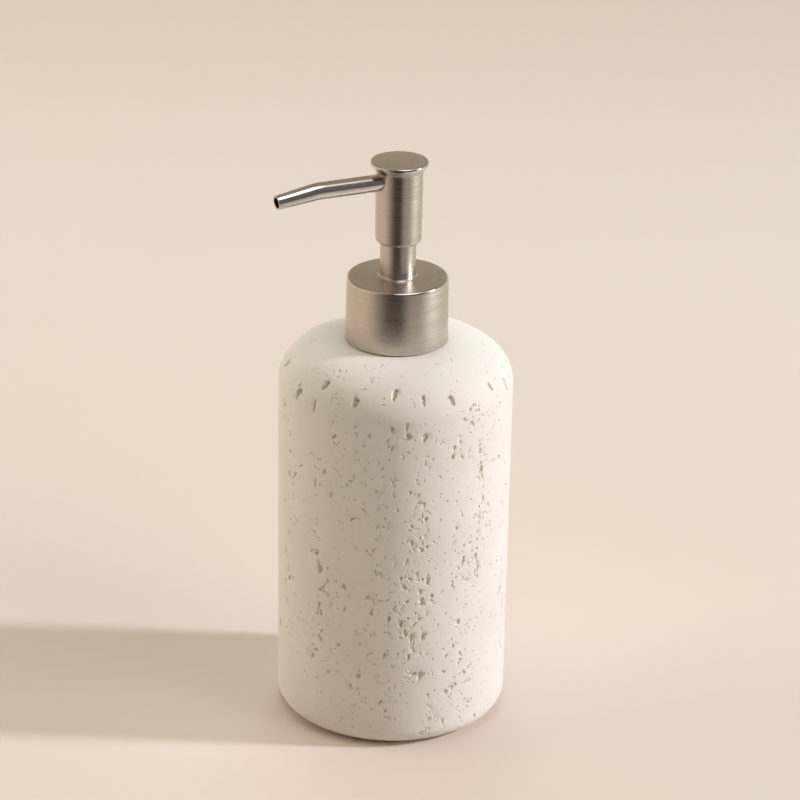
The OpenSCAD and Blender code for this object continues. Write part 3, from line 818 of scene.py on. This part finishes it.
def brushed_metal(name, stretch, rough):
    """Satin metal. The stretch is how far the lines draw a highlight out; 0 is for a face-turned top."""
    nodes, spot = new_finish(name)
    lines = lathe_lines(nodes, spot, 2300)
    wide = lathe_lines(nodes, spot, 800)
    hand = nodes.noise(spot, 90, 2)
    brushing = lines.ramp(0.3, 0.7) * 0.6 + wide.ramp(0.3, 0.7) * 0.4
    colour = nodes.mix(brushing, (0.545, 0.50, 0.44), (0.64, 0.592, 0.53))
    return nodes.shader(
        Base_Color=colour, Metallic=1.0, Roughness=rough - 0.03 + lines.ramp(0.3, 0.7) * 0.1 + hand * 0.05,
        Anisotropic=stretch, Anisotropic_Rotation=0.25, Normal=nodes.bump(lines, 0.016),
    )


def polished_metal():
    nodes, spot = new_finish("polished_metal")
    haze = nodes.noise(spot, 500, 3)
    scratches = nodes.noise(nodes.stretched(spot, 3000, 400), 1.0, 2)
    colour = nodes.mix(haze, (0.64, 0.605, 0.56), (0.72, 0.69, 0.65))
    return nodes.shader(
        Base_Color=colour, Metallic=1.0, Roughness=0.07 + haze * 0.06 + scratches * 0.05,
        Normal=nodes.bump(scratches, 0.001),
    )


satin = brushed_metal("brushed_metal", 0.7, 0.26)
flat_satin = brushed_metal("satin_metal", 0.0, 0.33)
bright = polished_metal()

# %% [markdown]
# ## Plastics and rubber
#
# The pump's own parts are moulded in milky plastic, the piston in a softer grade, and the seals and the
# pad in rubber. They are mostly hidden, but the head's plastic skirt and the pad can be seen from below.


# %% Make the plastics and the rubbers
def moulded(name, pale, deep, rough, flow=60):
    """A moulded plastic with faint flow marks and a fine spark-eroded texture."""
    nodes, spot = new_finish(name)
    marks = nodes.noise(nodes.stretched(spot, flow, flow / 5), 1.0, 3)
    texture = nodes.noise(spot, 3500, 2)
    return nodes.shader(
        Base_Color=nodes.mix(marks.ramp(0.3, 0.7), pale, deep), Roughness=rough + texture * 0.12,
        Subsurface_Weight=0.15, Subsurface_Radius=(0.002, 0.002, 0.002), Subsurface_Scale=1.0,
        Normal=nodes.bump(texture, 0.006),
    )


def rubbery(name, pale, deep):
    """A matte rubber with a dusty bloom and a fine grain."""
    nodes, spot = new_finish(name)
    bloom = nodes.noise(spot, 220, 3)
    texture = nodes.noise(spot, 2500, 3)
    return nodes.shader(
        Base_Color=nodes.mix(bloom.ramp(0.3, 0.8), pale, deep), Roughness=0.72 + bloom * 0.2,
        Normal=nodes.bump(texture, 0.02),
    )


milky = moulded("milky_plastic", (0.80, 0.80, 0.78), (0.74, 0.74, 0.715), 0.34)
soft = moulded("soft_plastic", (0.76, 0.75, 0.70), (0.69, 0.68, 0.62), 0.46, flow=90)
seal = rubbery("seal_rubber", (0.06, 0.06, 0.06), (0.11, 0.11, 0.105))
pad = rubbery("pad_rubber", (0.16, 0.155, 0.15), (0.24, 0.23, 0.22))

# %% [markdown]
# ## Dressing every piece
#
# The new pieces take one or two finishes. A second one goes on the faces that were polished, which are
# picked by their height and their distance from the axis. The CAD parts that stay are dressed from the
# record, which says which finish each of them has.


# %% Dress the new pieces
def dress(obj, *materials):
    """Gives an object its materials in place of any that it has."""
    obj.data.materials.clear()
    for material in materials:
        obj.data.materials.append(material)


def polish(obj, is_polished):
    """Gives the second material to the faces that pass a test of radius and height in millimetres.

    The third material goes on the flat tops.
    """
    count = 0
    for face in obj.data.polygons:
        c = face.center / MM
        if is_polished(math.hypot(c.x, c.y), c.z):
            face.material_index = 1
            count += 1
        elif face.normal.z > 0.98:
            face.material_index = 2
    print(f"{obj.name}: {count} polished faces")


dress(bottle, stone)
dress(collar, satin, bright, flat_satin)
dress(sleeve, satin)
dress(barrel, satin)
dress(button, satin, bright, flat_satin)
dress(spout, bright)
dress(spring, bright)
polish(collar, lambda r, z: z > collar_top - bevel and r > collar_top_r - bevel)
polish(button, lambda r, z: r > button_r - rim_edge - 0.05 and z > rim_foot - 0.05)

# %% Dress the CAD parts that stay
finishes = {
    "stone_resin": stone, "satin_steel": satin, "bright_steel": bright, "milky_plastic": milky,
    "soft_plastic": soft, "seal_rubber": seal, "pad_rubber": pad,
}
slots = {part["node"]: part["material_slot"] for part in frame["record"]["subparts"]}
for node, obj in frame["nodes"].items():
    dress(obj, finishes[slots[node]])
print(f"{len(frame['nodes'])} CAD parts dressed")

# %% [markdown]
# ## The floor and what the metal reflects
#
# The object stands on a sheet of pale warm paper, with painted shade that makes it a little darker
# towards the back. Metal looks like what stands round it, so a large studio ball that only reflections
# can see stands in for the room: a warm wall at the left, a dark camera side, a pale soft box at the
# right with a dim stand below it, and one bright box overhead. It is painted by direction, and leaves
# the light on the stone alone.

# %% Lay the floor
camera_turn = math.radians(-28.5)
to_camera = Vector((math.sin(camera_turn), -math.cos(camera_turn), 0))
to_right = Vector((math.cos(camera_turn), math.sin(camera_turn), 0))


def along(nodes, place, direction):
    """How far a place lies in a direction, in metres."""
    return nodes.add("ShaderNodeVectorMath", {"operation": "DOT_PRODUCT"}, {0: place, 1: direction}, output=1)


def paper():
    """Matte paper with slow changes of colour, and painted shade that darkens it towards the back."""
    nodes, spot = new_finish("sweep_paper")
    drift = nodes.noise(spot, 3, 2)
    near_colour = nodes.mix(drift.ramp(0.3, 0.7), (0.755, 0.652, 0.588), (0.765, 0.662, 0.598))
    # Painted shade: the paper is darker towards the back, where less light falls on it.
    far_shade = along(nodes, spot, to_camera).ramp(-0.3, -1.1)
    return nodes.shader(
        Base_Color=nodes.mix(far_shade, near_colour, (0.60, 0.495, 0.425)), Roughness=0.9, Specular_IOR_Level=0.2
    )


bpy.ops.object.select_all(action="DESELECT")
bpy.ops.mesh.primitive_circle_add(vertices=96, radius=6, fill_type="NGON")
floor = bpy.context.object
floor.name = "floor"
dress(floor, paper())
floor.visible_glossy = False


# %% Hang the backdrop that only the camera sees, and the ball that only reflections see
def ball(name, radius, material, **rays):
    """A ball round the set that only the named kinds of ray can see."""
    bpy.ops.object.select_all(action="DESELECT")
    bpy.ops.mesh.primitive_uv_sphere_add(segments=48, ring_count=24, radius=radius)
    obj = bpy.context.object
    obj.name = name
    dress(obj, material)
    for ray in ("camera", "diffuse", "glossy", "transmission", "volume_scatter", "shadow"):
        setattr(obj, f"visible_{ray}", rays.get(ray, False))
    return obj


def glow(nodes, colour):
    """Makes a material that only glows."""
    light = nodes.add("ShaderNodeEmission", {}, {"Color": colour, "Strength": 1.0})
    nodes.add("ShaderNodeOutputMaterial", {}, {"Surface": light})
    return nodes.owner


def studio():
    """What reflections see. The turn is in degrees to the right of the camera."""
    nodes, spot = new_finish("studio")
    front = along(nodes, spot, to_camera)
    turn = along(nodes, spot, to_right).math("ARCTAN2", front) * math.degrees(1)
    height = along(nodes, spot, Vector((0, 0, 1)))
    dark = (0.07, 0.055, 0.046)
    left = nodes.mix(turn.ramp(-13, -84), dark, (0.84, 0.67, 0.53))
    middle = nodes.mix(turn.ramp(8, 34), left, (0.56, 0.49, 0.42))
    soft_box = nodes.mix(turn.ramp(50, 78), middle, (1.0, 0.93, 0.84))
    sides = nodes.mix(turn.ramp(88, 135), soft_box, (0.78, 0.69, 0.58))
    wall = height.ramp(0.5, 3.2) * front.ramp(2.5, -2.5)
    aloft = nodes.mix(wall, sides, (0.34, 0.275, 0.21))
    stand = height.ramp(-1.9, -0.8) * turn.ramp(10, 30) * turn.ramp(84, 66)
    shaded = nodes.mix(stand * 0.9, aloft, (0.10, 0.092, 0.088))
    rise, aside = math.radians(70), math.radians(50)
    level = to_camera * math.cos(aside) + to_right * math.sin(aside)
    box_way = Vector((0, 0, 1)) * math.sin(rise) + level * math.cos(rise)
    over = nodes.mix(along(nodes, spot, box_way).ramp(6.0, 6.3), shaded, (2.2, 2.15, 2.1))
    return glow(nodes, over)


backdrop_nodes = Nodes(bpy.data.materials.new("backdrop_glow"))
ball("backdrop", 7, glow(backdrop_nodes, (0.66, 0.57, 0.49, 1)), camera=True)
ball("studio_ball", 6.5, studio(), glossy=True)

# %% [markdown]
# ## Light
#
# One small lamp stands to the right of the camera, low enough to rake across the pits and to throw a
# long shadow to the left. It is far away, so its light is as even as daylight from a window. Wide soft
# boxes fill the shadows, the strongest of them warm and from the left; reflections do not see them.


# %% Hang the lamps
def lamp(name, away, turn, up, size, watts, colour, shines=False):
    """An area lamp that looks at the bottle. Turn is in degrees to the right of the camera."""
    aim = Vector((0, 0, 0.09))
    turn, up = camera_turn + math.radians(turn), math.radians(up)
    back = Vector((math.sin(turn) * math.cos(up), -math.cos(turn) * math.cos(up), math.sin(up)))
    light = bpy.data.lights.new(name, "AREA")
    light.shape = "DISK"
    light.size = size
    light.energy = watts
    light.color = colour
    obj = bpy.data.objects.new(name, light)
    bpy.context.scene.collection.objects.link(obj)
    obj.location = aim + back * away
    obj.rotation_mode = "QUATERNION"
    obj.rotation_quaternion = back.to_track_quat("Z", "Y")
    obj.visible_glossy = shines
    return obj


lamp("key", 5, 88, 28, 0.44, 188, (0.915, 0.92, 1.0), shines=True)
lamp("overhead", 2.6, 0, 85, 1.6, 16, (1.0, 0.89, 0.70))
lamp("left_fill", 2.6, -100, 22, 2.3, 33, (1.0, 0.925, 0.71))
lamp("left_back_fill", 2.6, -140, 35, 1.6, 12.5, (0.95, 0.85, 1.0))
lamp("back_fill", 2.6, 180, 45, 1.6, 16, (0.78, 1.0, 0.92))
lamp("right_fill", 2.6, 60, 32, 1.6, 20, (1.0, 0.97, 0.78))

# %% Darken the room
world = bpy.data.worlds.new("room")
bpy.context.scene.world = world
room = Nodes(world)
sky = room.add("ShaderNodeBackground", {}, {"Color": (0.0, 0.0, 0.0, 1), "Strength": 1.0})
room.add("ShaderNodeOutputWorld", {}, {"Surface": sky})

# %% [markdown]
# ## The camera
#
# The camera looks down at the bottle from about a metre away through a long lens, and is tilted about
# one degree.

# %% Stand the camera
camera_back, camera_up = 0.9266, 0.5171
camera_data = bpy.data.cameras.new("camera")
camera_data.lens = 142.2
camera_data.sensor_width = 36
camera_data.clip_start, camera_data.clip_end = 0.05, 30
camera = bpy.data.objects.new("camera", camera_data)
bpy.context.scene.collection.objects.link(camera)
pitch, yaw, roll_turn = math.radians(66.11), camera_turn - math.radians(0.09), math.radians(1.07)
aimed = Matrix.Rotation(yaw, 3, "Z") @ Matrix.Rotation(pitch, 3, "X") @ Matrix.Rotation(roll_turn, 3, "Z")
camera.location = to_camera * camera_back + Vector((0, 0, camera_up))
camera.rotation_euler = aimed.to_euler()
bpy.context.scene.camera = camera
bpy.context.scene.view_settings.view_transform = "Standard"
